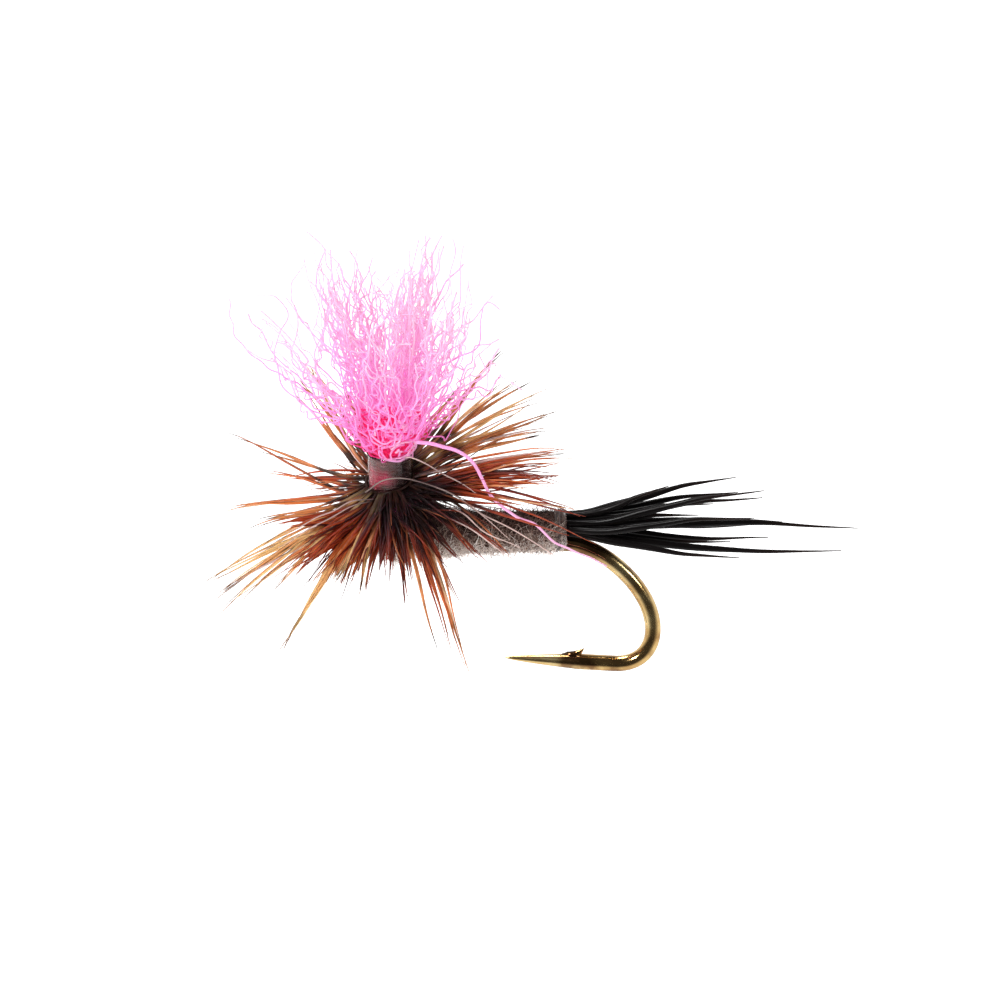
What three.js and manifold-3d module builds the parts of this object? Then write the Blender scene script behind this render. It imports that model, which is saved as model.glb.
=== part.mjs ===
// A parachute dry fly, tied on a size 18 hook: wire hook, tying thread, hair tail, dubbed fur body, an
// upright yarn post with a hackle wound round its foot, and a varnished thread head.
// Units are millimetres. The origin is the centre of the hook's eye, +X runs back along the shank to the
// tail, +Y is across the fly and +Z is up the post.
import * as THREE from "three";
import { mergeVertices } from "three/addons/utils/BufferGeometryUtils.js";
import Module from "manifold-3d";

const wasm = await Module();
wasm.setup();

// ---- driving dimensions ----
const GAP = 0.012; // clearance between pieces that touch
const THREAD_R = 0.03; // tying thread

const WIRE_R = 0.185; // hook wire
const EYE_WIRE_R = 0.115; // wire where it is ground down for the eye
const EYE_RING_R = 0.33; // eye, to the middle of its wire
const EYE_DROP = THREE.MathUtils.degToRad(30); // the eye is turned down by this
const SHANK_Z = 0.28;
const BEND_START_X = 4.95;
const BEND_BACK_X = 6.95;
const BEND_SIDE_Z = -1.82;
const SPEAR_BACK = [6.12, -2.665];
const POINT = [3.53, -2.52];
const POINT_TAPER = 1.6; // length of the ground point

const HAIR_R = 0.06; // where a hair is bound
const HAIR_SWELL = 1.3; // how much thicker it is half way along
const HAIR_PITCH = 2 * HAIR_R + GAP;
const HAIR_Z = SHANK_Z + WIRE_R + 2 * THREAD_R + 3 * GAP + HAIR_R; // the lowest row of hairs
const HAIR_ROW_PITCH = 0.88 * HAIR_PITCH; // hairs of a row lie in the dips of the row below
const TAIL_WRAP_X = [4.68, 4.94]; // where the tail hairs are bound down

const ABDOMEN_X = [1.5, 4.62];
const THORAX_X = [0.66, 1.46];
const HEAD_X = [0.45, 0.62];

const POST_X = 0.92;
const POST_R = 0.41;
const POST_TOP_Z = 2.56;
const POST_FOOT_Z = SHANK_Z + WIRE_R + 2 * THREAD_R + 3 * GAP;
const POST_WRAP_Z = [1.1, 2.48];
const YARN_BULB_R = 0.8;
const YARN_BULB_Z = 3.15;
const SLING_R = WIRE_R + 2 * THREAD_R + 2 * GAP + 0.11; // where the yarn passes under the shank
const CEMENT_T = 0.022;

const QUILL_R = 0.042;
const HACKLE_Z = 1.37; // middle of the lowest turn of the quill
const HACKLE_PITCH = 0.2;
const COIL_TILT = Math.tan(THREE.MathUtils.degToRad(14)); // the coil is higher towards +X and +Y
const BARB_RISE_X = Math.tan(THREE.MathUtils.degToRad(22)); // barbs rise towards the tail
const BARB_RISE_Y = Math.tan(THREE.MathUtils.degToRad(25)); // and towards +Y
const BARB_R = 0.034;

const FULL_TURN = 2 * Math.PI;

// ---- materials ----
function material(color, roughness, metalness = 0) {
  return new THREE.MeshStandardMaterial({ color, roughness, metalness });
}

const bronze = material(0x6b5228, 0.3, 0.9);
const thread = material(0x3b3634, 0.6);
const moose = material(0x141210, 0.45);
const fur = material(0x77716b, 0.95);
const yarn = material(0xf76fbd, 0.7);
const brownFeather = material(0x6e2a12, 0.5);
const grizzlyFeather = material(0xa88a6c, 0.5);
const varnish = material(0x8d7f78, 0.08);

// ---- geometry helpers ----
// A tube along a curve, made by bending a closed cylinder. radiusAt(u) gives its radius from u 0 to 1.
function sweep(curve, radiusAt, sides, steps) {
  const geometry = new THREE.CylinderGeometry(1, 1, 1, sides, steps);
  const frames = curve.computeFrenetFrames(steps, false);
  const position = geometry.getAttribute("position");
  const point = new THREE.Vector3();
  for (let i = 0; i < position.count; i++) {
    const u = 0.5 - position.getY(i);
    const k = Math.round(u * steps);
    const radius = radiusAt(u);
    curve.getPointAt(k / steps, point);
    point.addScaledVector(frames.normals[k], position.getX(i) * radius);
    point.addScaledVector(frames.binormals[k], position.getZ(i) * radius);
    position.setXYZ(i, point.x, point.y, point.z);
  }
  return geometry;
}

// A closed geometry as a manifold-3d solid, for joining and cutting.
function solidOf(geometry) {
  const bare = geometry.clone();
  bare.deleteAttribute("normal");
  bare.deleteAttribute("uv");
  const merged = mergeVertices(bare, 1e-4);
  return new wasm.Manifold(
    new wasm.Mesh({
      numProp: 3,
      vertProperties: merged.attributes.position.array,
      triVerts: new Uint32Array(merged.index.array),
    }),
  );
}

function geometryOf(solid) {
  const mesh = solid.getMesh();
  return new THREE.BufferGeometry()
    .setAttribute("position", new THREE.BufferAttribute(mesh.vertProperties, 3))
    .setIndex(new THREE.BufferAttribute(mesh.triVerts, 1));
}

// A LatheGeometry lying along the shank, from a profile of [x, radius] pairs.
function latheOnShank(profile, sides) {
  const points = profile.map(([x, r]) => new THREE.Vector2(r, x));
  return new THREE.LatheGeometry(points, sides).rotateZ(-Math.PI / 2).translate(0, 0, SHANK_Z);
}

// A LatheGeometry standing on the axis of the post, from a profile of [z, radius] pairs.
function latheOnPost(profile, sides) {
  const points = profile.map(([z, r]) => new THREE.Vector2(r, z));
  return new THREE.LatheGeometry(points, sides).rotateX(Math.PI / 2).translate(POST_X, 0, 0);
}

// Thread or quill wound in a helix; place(angle, u) gives the point at that angle.
class Winding extends THREE.Curve {
  constructor(turns, place, startAngle = 0) {
    super();
    Object.assign(this, { turns, place, startAngle, arcLengthDivisions: 60 * Math.ceil(turns) });
  }
  getPoint(u, target = new THREE.Vector3()) {
    return this.place(this.startAngle + u * this.turns * FULL_TURN, u, target);
  }
}

// Turns of thread round the shank between two x values; the oval is centred at height above the shank.
function shankWinding(x0, x1, radiusY, radiusZ, height = 0, pitch = 2 * THREAD_R + GAP) {
  const turns = (x1 - x0) / pitch;
  const place = (angle, u, target) =>
    target.set(
      x0 + u * (x1 - x0),
      radiusY * Math.cos(angle),
      SHANK_Z + height + radiusZ * Math.sin(angle),
    );
  return windThread(new Winding(turns, place), turns);
}

function postWinding(z0, z1, radius, pitch = 2 * THREAD_R + GAP) {
  const turns = (z1 - z0) / pitch;
  const place = (angle, u, target) =>
    target.set(POST_X + radius * Math.cos(angle), radius * Math.sin(angle), z0 + u * (z1 - z0));
  return windThread(new Winding(turns, place), turns);
}

function windThread(winding, turns) {
  const stepsPerTurn = 10;
  return sweep(winding, () => THREAD_R, 4, Math.round(turns * stepsPerTurn));
}

// ---- the hook ----
function hookWire() {
  const back = EYE_RING_R * Math.cos(EYE_DROP);
  const neck = [back, EYE_RING_R * Math.sin(EYE_DROP)];
  const [spearX, spearZ] = SPEAR_BACK;
  const at = (x, z) => new THREE.Vector3(x, 0, z);
  const path = new THREE.CurvePath();
  path.add(new THREE.QuadraticBezierCurve3(at(...neck), at(back + 0.2, SHANK_Z), at(0.85, SHANK_Z)));
  path.add(new THREE.LineCurve3(at(0.85, SHANK_Z), at(BEND_START_X, SHANK_Z)));
  path.add(
    new THREE.CubicBezierCurve3(
      at(BEND_START_X, SHANK_Z),
      at(BEND_START_X + 0.8, SHANK_Z),
      at(BEND_BACK_X, BEND_SIDE_Z + 1),
      at(BEND_BACK_X, BEND_SIDE_Z),
    ),
  );
  path.add(
    new THREE.CubicBezierCurve3(
      at(BEND_BACK_X, BEND_SIDE_Z),
      at(BEND_BACK_X, BEND_SIDE_Z - 0.5),
      at(spearX + 0.53, spearZ),
      at(spearX, spearZ),
    ),
  );
  path.add(new THREE.LineCurve3(at(spearX, spearZ), at(...POINT)));
  const length = path.getLength();
  const radiusAt = (u) => {
    const fromEye = u * length;
    const fromPoint = (1 - u) * length;
    const eyeTaper = EYE_WIRE_R + (WIRE_R - EYE_WIRE_R) * Math.min(1, fromEye / 0.6);
    const pointTaper = 0.008 + (WIRE_R - 0.008) * Math.pow(Math.min(1, fromPoint / POINT_TAPER), 0.8);
    return Math.min(eyeTaper, pointTaper);
  };
  return sweep(path, radiusAt, 10, 64);
}

// The barb is a sliver cut up from the top of the point, leaning back towards the bend.
function barbSliver() {
  const foot = new THREE.Vector3(4.9, 0, -2.57);
  const tip = new THREE.Vector3(5.38, 0, -2.27);
  return sweep(new THREE.LineCurve3(foot, tip), (u) => 0.11 - 0.1 * u, 5, 2);
}

function hook() {
  const eye = new THREE.TorusGeometry(EYE_RING_R, EYE_WIRE_R, 8, 20).rotateY(-EYE_DROP);
  return geometryOf(solidOf(hookWire()).add(solidOf(eye)).add(solidOf(barbSliver())));
}

// ---- the tail ----
// Rows of hairs from the lowest up. Each hair is the place of its tip; the rows lie side by side.
const TAIL_ROWS = [
  [
    [8.92, -0.7, 0.18],
    [11.26, -0.15, 0.15],
    [8.72, 0.35, 0.19],
    [9.6, 0.8, 0.13],
  ],
  [
    [9.24, -0.95, 1.25],
    [11.62, -0.3, 0.74],
    [9.9, 0.15, 0.74],
    [8.0, 0.6, 0.76],
    [9.3, 1.0, 0.38],
  ],
  [
    [9.45, -0.75, 1.85],
    [9.43, -0.2, 1.48],
    [8.33, 0.45, 1.1],
    [8.9, 0.9, 1.21],
  ],
  [
    [7.28, -0.35, 1.81],
    [8.83, 0.3, 1.79],
  ],
];
const TAIL_FLARE_X = 5.75; // by here the hairs have sprung apart from the wraps that bind them
const TAIL_FLARE = 1.6; // how many times wider apart than at the wraps

function tailHair([tipX, tipY, tipZ], row, place) {
  const rootY = place * HAIR_PITCH;
  const rootZ = HAIR_Z + row * HAIR_ROW_PITCH;
  const middleZ = HAIR_Z + 1.5 * HAIR_ROW_PITCH;
  const tied = TAIL_WRAP_X.map((x) => new THREE.Vector3(x, rootY, rootZ));
  const flareZ = middleZ + TAIL_FLARE * (rootZ - middleZ);
  const flared = new THREE.Vector3(TAIL_FLARE_X, TAIL_FLARE * rootY, flareZ);
  const tip = new THREE.Vector3(tipX, tipY, tipZ);
  const middle = flared.clone().lerp(tip, 0.5);
  middle.z += 0.03 * (tipX - TAIL_FLARE_X) * Math.sign(tipZ - flared.z);
  const butt = new THREE.Vector3(ABDOMEN_X[1] - 1.1 + 0.2 * row, rootY, rootZ);
  const curve = new THREE.CatmullRomCurve3([butt, ...tied, flared, middle, tip]);
  const radiusAt = (u) => {
    const swell = 1 + (HAIR_SWELL - 1) * THREE.MathUtils.smoothstep(u, 0.3, 0.5);
    return HAIR_R * swell * (1 - 0.9 * Math.pow(Math.max(0, (u - 0.5) / 0.5), 1.2));
  };
  return sweep(curve, radiusAt, 5, 14);
}

// ---- the body ----
// Dubbed fur: a tapering, ridged rope of fur wound round the shank, with a hollow cut through it. tall is how
// many times higher than wide it is.
function dubbing([x0, x1], radiusAt, tall, centreZ, ridges, hollow) {
  const steps = 4 * ridges;
  const geometry = new THREE.CylinderGeometry(1, 1, 1, 14, steps);
  const position = geometry.getAttribute("position");
  for (let i = 0; i < position.count; i++) {
    const u = 0.5 - position.getY(i);
    const radius = radiusAt(u) * (1 + 0.04 * (1 - u) * Math.cos(u * ridges * FULL_TURN));
    const x = x0 + u * (x1 - x0);
    position.setXYZ(i, x, position.getX(i) * radius, centreZ + position.getZ(i) * tall * radius);
  }
  return solidOf(geometry).subtract(hollow);
}

// The space that the wrapped shank takes up inside the fur.
function shankHollow(radius) {
  const length = 6;
  const shank = new THREE.CylinderGeometry(radius, radius, length, 14).rotateZ(Math.PI / 2);
  return solidOf(shank.translate(0.5 * length, 0, SHANK_Z));
}

// The space that the butts of the tail hairs take up, stepped like the rows of hairs.
function tailHollow() {
  const length = 1.25;
  const middleX = ABDOMEN_X[1] + 0.1 - 0.5 * length;
  return wasm.Manifold.union(
    TAIL_ROWS.map((row, i) => {
      const width = (row.length - 1) * HAIR_PITCH + 2 * HAIR_R + 2 * GAP;
      const height = HAIR_ROW_PITCH + 2 * GAP;
      const step = new THREE.BoxGeometry(length, width, height + (i === 0 ? 0.1 : 0));
      return solidOf(step.translate(middleX, 0, HAIR_Z + i * HAIR_ROW_PITCH - (i === 0 ? 0.05 : 0)));
    }),
  );
}

function abdomen() {
  const radiusAt = (u) => 0.57 + 0.13 * Math.pow(1 - u, 3);
  const hollow = shankHollow(WIRE_R + 2 * THREAD_R + 2 * GAP).add(tailHollow());
  return geometryOf(dubbing(ABDOMEN_X, radiusAt, 1, 0.53, 6, hollow));
}

function thorax() {
  const radiusAt = (u) => 0.46 + 0.12 * Math.sin(Math.min(1, 0.1 + 1.2 * u) * 0.5 * Math.PI);
  const body = dubbing(THORAX_X, radiusAt, 1.15, 0.42, 2, shankHollow(SLING_R + 2 * GAP));
  const holeR = POST_R + 2 * THREAD_R + CEMENT_T + 4 * GAP;
  const hole = new THREE.CylinderGeometry(holeR, holeR, 3, 20).rotateX(Math.PI / 2);
  return geometryOf(body.subtract(solidOf(hole.translate(POST_X, 0, SHANK_Z + 1.5))));
}

// ---- the post ----
// The yarn passes under the shank and both ends are drawn up and bound together as one post, which opens
// into a bulb above its wraps.
function yarnPost() {
  const trunk = latheOnPost(
    [
      [POST_FOOT_Z, 0],
      [POST_FOOT_Z, 0.26],
      [POST_FOOT_Z + 0.3, POST_R],
      [POST_TOP_Z - 0.04, POST_R],
      [POST_TOP_Z + 0.12, 1.35 * POST_R],
      [POST_TOP_Z + 0.4, 0.86 * YARN_BULB_R],
      [YARN_BULB_Z, YARN_BULB_R],
      [YARN_BULB_Z, 0],
    ],
    16,
  );
  const strandR = 0.055;
  const sling = new THREE.TorusGeometry(SLING_R - strandR, strandR, 6, 16)
    .rotateY(Math.PI / 2)
    .scale(2.6, 1, 1)
    .translate(POST_X, 0, SHANK_Z);
  return geometryOf(solidOf(trunk).add(solidOf(sling)));
}

// Locks of loose filaments standing on the bulb, in an outer and an inner ring. Each is the place of its
// tip, in order round the post, and how far it bows outwards on the way.
const OUTER_LOCKS = [
  [3.35, -0.15, 5.0, 0.35],
  [2.75, 1.15, 6.1, 0.25],
  [1.1, 1.75, 6.3, 0.3],
  [-0.6, 1.35, 6.6, 0.2],
  [-2.05, 0.1, 5.6, 0.3],
  [-1.55, -1.0, 6.4, 0.25],
  [0.35, -1.7, 6.0, 0.3],
  [2.5, -1.25, 6.8, 0.25],
];
const INNER_LOCKS = [
  [2.0, 0.55, 7.4, 0.05],
  [0.2, 0.7, 7.05, 0.05],
  [-0.75, -0.35, 7.35, 0.1],
  [1.35, -0.6, 7.15, 0.05],
];
const OUTER_RING_R = 0.62;
const INNER_RING_R = 0.26;

function yarnLock([tipX, tipY, tipZ, bow], distance, angle) {
  const out = new THREE.Vector3(Math.cos(angle), Math.sin(angle), 0);
  const root = new THREE.Vector3(POST_X, 0, YARN_BULB_Z + GAP).addScaledVector(out, distance);
  const tip = new THREE.Vector3(tipX, tipY, tipZ);
  const low = root.clone().lerp(tip, 0.12).addScaledVector(out, 0.3 * bow);
  const middle = root.clone().lerp(tip, 0.5).addScaledVector(out, bow);
  const curve = new THREE.CatmullRomCurve3([root, low, middle, tip]);
  const radiusAt = (u) => 0.02 + 0.14 * (1 - u) + 0.2 * Math.pow(Math.sin(Math.PI * u), 1.2);
  return sweep(curve, radiusAt, 7, 9);
}

// One filament that has come loose and hangs down over the near side of the body to the bend.
const STRAY_FILAMENT = [
  [1.55, -0.72, 3.0],
  [1.81, -0.82, 3.04],
  [2.1, -0.9, 2.96],
  [2.54, -1.0, 2.87],
  [2.77, -1.05, 2.67],
  [2.97, -1.1, 2.45],
  [3.05, -1.15, 2.17],
  [3.16, -1.2, 1.95],
  [3.57, -1.2, 1.54],
  [3.78, -1.15, 1.34],
  [4.06, -1.1, 1.24],
  [4.32, -1.0, 1.05],
  [4.58, -0.9, 0.72],
  [4.9, -0.7, 0.43],
  [5.17, -0.6, 0.31],
  [5.86, -0.45, -0.12],
];

function strayFilament() {
  const points = STRAY_FILAMENT.map((p) => new THREE.Vector3(...p));
  return sweep(new THREE.CatmullRomCurve3(points), (u) => 0.042 - 0.02 * u, 5, 30);
}

// ---- the hackle ----
const HACKLE_R = POST_R + 2 * THREAD_R + CEMENT_T + QUILL_R + 3 * GAP;

// A place on the quill as it goes round the post. The coil is tilted, so its height follows the angle.
function quillPoint(angle, height, target = new THREE.Vector3()) {
  const x = HACKLE_R * Math.cos(angle);
  const y = HACKLE_R * Math.sin(angle);
  return target.set(POST_X + x, y, HACKLE_Z + height + COIL_TILT * (x + y));
}

// One feather: its quill wound down the post, with barbs standing out all round. droop is how far barbs
// stray above and below their common plane, in degrees.
function feather({ turns, lowestTurn, startAngle, barbs, length, droop }) {
  const heightAt = (u) => lowestTurn + turns * HACKLE_PITCH * (1 - u);
  const place = (angle, u, target) => quillPoint(angle, heightAt(u), target);
  const quill = sweep(new Winding(turns, place, startAngle), (u) => QUILL_R * (1 - 0.3 * u), 5, 14 * turns);
  const solids = [solidOf(quill)];
  for (let i = 0; i < barbs; i++) {
    const u = (i + 0.5) / barbs;
    const angle = startAngle + u * turns * FULL_TURN;
    solids.push(barb(quillPoint(angle, heightAt(u)), angle, i, length, droop));
  }
  return geometryOf(wasm.Manifold.union(solids));
}

function barb(root, angle, i, length, droop) {
  const across = angle + 0.3 * Math.sin(7.3 * i);
  const out = new THREE.Vector3(Math.cos(across), Math.sin(across), 0);
  const stray = THREE.MathUtils.degToRad(droop * Math.sin(2.4 * i + 0.7));
  out.z = BARB_RISE_X * out.x + BARB_RISE_Y * out.y + Math.tan(stray);
  out.normalize();
  const reach = length * (0.85 + 0.15 * Math.sin(5.1 * i));
  const middle = root.clone().addScaledVector(out, 0.5 * reach);
  middle.z += 0.05 * reach * Math.cos(3.7 * i);
  const tip = root.clone().addScaledVector(out, reach);
  const curve = new THREE.QuadraticBezierCurve3(root, middle, tip);
  return solidOf(sweep(curve, (v) => BARB_R * (1 - 0.86 * v), 3, 3));
}

// ---- cement ----
// A coat of clear cement is a sleeve, open at both ends, over the wraps it seals.
function sleeve(profileAt, x0, x1, steps) {
  const outside = [];
  const inside = [];
  for (let k = 0; k <= steps; k++) {
    const x = x0 + ((x1 - x0) * k) / steps;
    outside.push([x, profileAt(k / steps) + CEMENT_T]);
    inside.unshift([x, profileAt(k / steps)]);
  }
  return [...outside, ...inside, outside[0]];
}

function headCement() {
  const [x0, x1] = HEAD_X;
  const radiusAt = () => WIRE_R + 2 * THREAD_R + 2 * GAP;
  return latheOnShank(sleeve(radiusAt, x0 - THREAD_R, x1 + THREAD_R, 2), 20);
}

function postCement() {
  const radiusAt = () => POST_R + 2 * THREAD_R + 2 * GAP;
  return latheOnPost(sleeve(radiusAt, POST_WRAP_Z[0], POST_WRAP_Z[1] + 0.02, 1), 24);
}

// ---- assembly ----
const fly = new THREE.Group();

function add(name, geometry, finish) {
  const mesh = new THREE.Mesh(geometry, finish);
  mesh.name = name;
  fly.add(mesh);
}

const numbered = (stem, index) => `${stem}_${String(index + 1).padStart(2, "0")}`;
const baseR = WIRE_R + THREAD_R + GAP;

add("hook", hook(), bronze);
add("thread_base", shankWinding(THORAX_X[0] + 0.05, TAIL_WRAP_X[0] - 0.1, baseR, baseR, 0, 0.21), thread);
let hairCount = 0;
TAIL_ROWS.forEach((row, i) => {
  row.forEach((tip, j) => {
    const place = j - 0.5 * (row.length - 1);
    add(numbered("tail_hair", hairCount), tailHair(tip, i, place), moose);
    hairCount += 1;
  });
});
add("tail_wraps", shankWinding(...TAIL_WRAP_X, 0.43, 0.515, 0.29), thread);
add("abdomen_dubbing", abdomen(), fur);
add("yarn_post", yarnPost(), yarn);
OUTER_LOCKS.forEach((lock, i) => {
  const angle = (i / OUTER_LOCKS.length) * FULL_TURN;
  add(numbered("yarn_lock", i), yarnLock(lock, OUTER_RING_R, angle), yarn);
});
INNER_LOCKS.forEach((lock, i) => {
  const angle = ((i + 0.5) / INNER_LOCKS.length) * FULL_TURN;
  add(numbered("yarn_lock", OUTER_LOCKS.length + i), yarnLock(lock, INNER_RING_R, angle), yarn);
});
add("stray_yarn_filament", strayFilament(), yarn);
add("post_wraps", postWinding(...POST_WRAP_Z, POST_R + THREAD_R + GAP), thread);
add("post_cement", postCement(), varnish);
add("thorax_dubbing", thorax(), fur);
const coil = { turns: 2.5, barbs: 46, droop: 17 };
add("brown_hackle", feather({ ...coil, lowestTurn: 0, startAngle: 0.4, length: 3.75 }), brownFeather);
const half = 0.5 * HACKLE_PITCH;
add("grizzly_hackle", feather({ ...coil, lowestTurn: half, startAngle: 0.4, length: 3.9 }), grizzlyFeather);
add("head_wraps", shankWinding(...HEAD_X, baseR, baseR), thread);
add("head_cement", headCement(), varnish);

export default fly;
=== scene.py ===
"""The looks of a parachute dry fly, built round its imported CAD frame.

Sizes here are in millimetres in the frame's own axes, and Shape.piece() turns them into Blender's metres. The
origin is the hook's eye, +X runs back along the shank to the tail and +Z is up the yarn post.
"""

import math

import bpy
import numpy as np
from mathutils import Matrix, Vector


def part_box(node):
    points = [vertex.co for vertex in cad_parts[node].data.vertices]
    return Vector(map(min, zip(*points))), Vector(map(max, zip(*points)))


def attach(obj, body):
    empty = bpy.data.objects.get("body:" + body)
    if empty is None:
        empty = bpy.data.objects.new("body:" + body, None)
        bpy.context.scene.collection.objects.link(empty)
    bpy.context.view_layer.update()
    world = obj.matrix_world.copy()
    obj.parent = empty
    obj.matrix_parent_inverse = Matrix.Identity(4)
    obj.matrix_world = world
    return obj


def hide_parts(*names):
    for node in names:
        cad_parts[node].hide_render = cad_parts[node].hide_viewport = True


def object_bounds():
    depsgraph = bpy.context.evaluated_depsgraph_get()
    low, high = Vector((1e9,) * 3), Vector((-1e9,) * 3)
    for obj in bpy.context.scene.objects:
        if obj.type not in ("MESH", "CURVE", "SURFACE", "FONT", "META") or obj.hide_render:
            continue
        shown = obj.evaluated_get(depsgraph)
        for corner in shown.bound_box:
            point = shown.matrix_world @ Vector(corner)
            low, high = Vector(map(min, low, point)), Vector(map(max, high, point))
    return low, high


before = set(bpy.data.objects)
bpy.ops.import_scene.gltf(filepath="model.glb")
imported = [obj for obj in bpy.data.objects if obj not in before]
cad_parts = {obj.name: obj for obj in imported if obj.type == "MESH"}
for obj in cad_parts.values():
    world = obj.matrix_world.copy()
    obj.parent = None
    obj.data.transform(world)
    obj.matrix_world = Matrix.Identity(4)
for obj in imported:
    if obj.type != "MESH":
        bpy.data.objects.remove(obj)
cad_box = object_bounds()

MM = 0.001
TURN = 2 * math.pi
rng = np.random.default_rng(18)


# ---------------------------------------------------------------- places taken from the frame
def box_mm(node):
    low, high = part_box(node)
    return np.array(low) / MM, np.array(high) / MM


def vertices_mm(node):
    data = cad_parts[node].data
    places = np.empty(3 * len(data.vertices))
    data.vertices.foreach_get("co", places)
    return places.reshape(-1, 3) / MM


def centreline(node, axis, count):
    """Points along the middle of a long node that runs up one axis, its two ends included."""
    places = vertices_mm(node)
    places = places[np.argsort(places[:, axis])]
    middle = [group.mean(0) for group in np.array_split(places, count)]
    return np.array([places[:5].mean(0), *middle[1:-1], places[-5:].mean(0)])


HOOK_BOX = box_mm("hook")
BASE_BOX = box_mm("thread_base")
TAIL_WRAPS_BOX = box_mm("tail_wraps")
HEAD_BOX = box_mm("head_wraps")
WRAPS_BOX = box_mm("post_wraps")
CEMENT_BOX = box_mm("post_cement")
HEAD_CEMENT_BOX = box_mm("head_cement")
ABDOMEN_BOX = box_mm("abdomen_dubbing")
THORAX_BOX = box_mm("thorax_dubbing")

# The sizes of the wire, its eye and the feathers' quills repeat the CAD model's.
WIRE_R = 0.185
EYE_WIRE_R = 0.115
EYE_RING_R = 0.33
EYE_DROP = math.radians(30)
QUILL_R = 0.036
POST_X = 0.5 * (WRAPS_BOX[0][0] + WRAPS_BOX[1][0])
WRAPS_R = 0.5 * (WRAPS_BOX[1][0] - WRAPS_BOX[0][0])
WRAPS_TOP_Z = WRAPS_BOX[1][2]
SHANK_Z = 0.5 * (BASE_BOX[0][2] + BASE_BOX[1][2])


# ---------------------------------------------------------------- materials
class Paint:
    """A Principled material put together from nodes. Named values are set on the shader's own sockets."""

    def __init__(self, name, **values):
        self.material = bpy.data.materials.new(name)
        self.material.use_nodes = True
        self.tree = self.material.node_tree
        self.shader = self.tree.nodes["Principled BSDF"]
        for socket, value in values.items():
            self.shader.inputs[socket.replace("_", " ")].default_value = value

    def feed(self, socket, value):
        if isinstance(value, bpy.types.NodeSocket):
            self.tree.links.new(value, socket)
        elif isinstance(value, tuple) and socket.type == "RGBA":
            socket.default_value = (*value, 1)
        else:
            socket.default_value = value

    def node(self, kind, inputs=(), **settings):
        """A shader node's first output. inputs gives values or other nodes' outputs for its sockets."""
        node = self.tree.nodes.new("ShaderNode" + kind)
        for key, value in settings.items():
            setattr(node, key, value)
        for socket, value in dict(inputs).items():
            self.feed(node.inputs[socket], value)
        return node

    def strand(self, name):
        """A number that Shape stored on the mesh's points."""
        return self.node("Attribute", attribute_name=name).outputs["Fac"]

    def noise(self, scale, detail=2, stretch=(1, 1, 1)):
        """Noise fixed to the fly, with scale in cells per metre."""
        place = self.node("TexCoord").outputs["Object"]
        stretched = self.node("Mapping", {"Vector": place, "Scale": stretch}).outputs[0]
        return self.node("TexNoise", {"Vector": stretched, "Scale": scale, "Detail": detail}).outputs[0]

    def sum(self, a, b, factor=1.0):
        """a + b * factor"""
        return self.node("Math", {0: b, 1: factor, 2: a}, operation="MULTIPLY_ADD").outputs[0]

    def sine(self, angle):
        return self.node("Math", {0: angle}, operation="SINE").outputs[0]

    def span(self, value, low, high, to_low=0.0, to_high=1.0):
        """value from between low and high, carried over to between to_low and to_high."""
        return self.node("MapRange", {0: value, 1: low, 2: high, 3: to_low, 4: to_high}).outputs[0]

    def ramp(self, factor, stops):
        """Colours at places from 0 to 1."""
        node = self.node("ValToRGB", {0: factor})
        elements = node.color_ramp.elements
        while len(elements) < len(stops):
            elements.new(0.5)
        for element, (place, colour) in zip(elements, stops):
            element.position = place
            element.color = (*colour, 1)
        return node.outputs[0]

    def mix(self, factor, a, b):
        node = self.node("Mix", {0: factor, 6: a, 7: b}, data_type="RGBA")
        return node.outputs[2]

    def finish(self, colour, rough, bump, strength, depth):
        """Feeds the shader: depth is how high the bumps are in millimetres."""
        self.feed(self.shader.inputs["Base Color"], colour)
        self.feed(self.shader.inputs["Roughness"], rough)
        inputs = {"Height": bump, "Strength": strength, "Distance": depth * MM}
        self.feed(self.shader.inputs["Normal"], self.node("Bump", inputs).outputs[0])
        return self.material

    def glow(self, colour, strength):
        """Light of its own: painted light for light that shines through thin parts, and an even glow for the
        floor.
        """
        self.feed(self.shader.inputs["Emission Color"], colour)
        self.shader.inputs["Emission Strength"].default_value = strength


def bronze_paint():
    """Bronze lacquer on steel wire, mottled brown near the shank and gold from the bend to the point."""
    paint = Paint("bronzed_wire", Metallic=0.99, Coat_Weight=0.2, Coat_Roughness=0.05)
    mottle = paint.noise(1800, 4, (0.5, 1, 1))
    browns = [(0.3, (0.17, 0.08, 0.03)), (0.5, (0.4, 0.24, 0.1)), (0.7, (0.66, 0.46, 0.2))]
    golds = [(0.3, (0.45, 0.24, 0.08)), (0.5, (0.78, 0.51, 0.2)), (0.7, (0.98, 0.78, 0.4))]
    # Gold from the bend to the point and brown before it, with a mottled change between them.
    gold_share = paint.span(paint.sum(paint.strand("along"), mottle, 0.3), 0.6, 0.8)
    lacquer = paint.mix(gold_share, paint.ramp(mottle, browns), paint.ramp(mottle, golds))
    colour = paint.mix(paint.span(paint.noise(1100, 4), 0.5, 0.62, 0.0, 0.8), lacquer, (0.16, 0.06, 0.024))
    return paint.finish(colour, paint.span(mottle, 0.3, 0.7, 0.1, 0.24), paint.noise(5000, 3), 0.25, 0.005)


def hair_paint():
    """Glossy black body hair, a little brown where it thins."""
    paint = Paint("moose_hair", Specular_IOR_Level=0.12)
    grain = paint.noise(1500, 3, (0.06, 1, 1))
    black = paint.ramp(grain, [(0.3, (0.002, 0.0018, 0.0018)), (0.75, (0.007, 0.005, 0.005))])
    colour = paint.mix(paint.span(paint.strand("along"), 0.7, 1.0, 0.0, 0.5), black, (0.035, 0.018, 0.014))
    return paint.finish(colour, paint.span(grain, 0.3, 0.7, 0.2, 0.36), grain, 0.5, 0.01)


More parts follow.
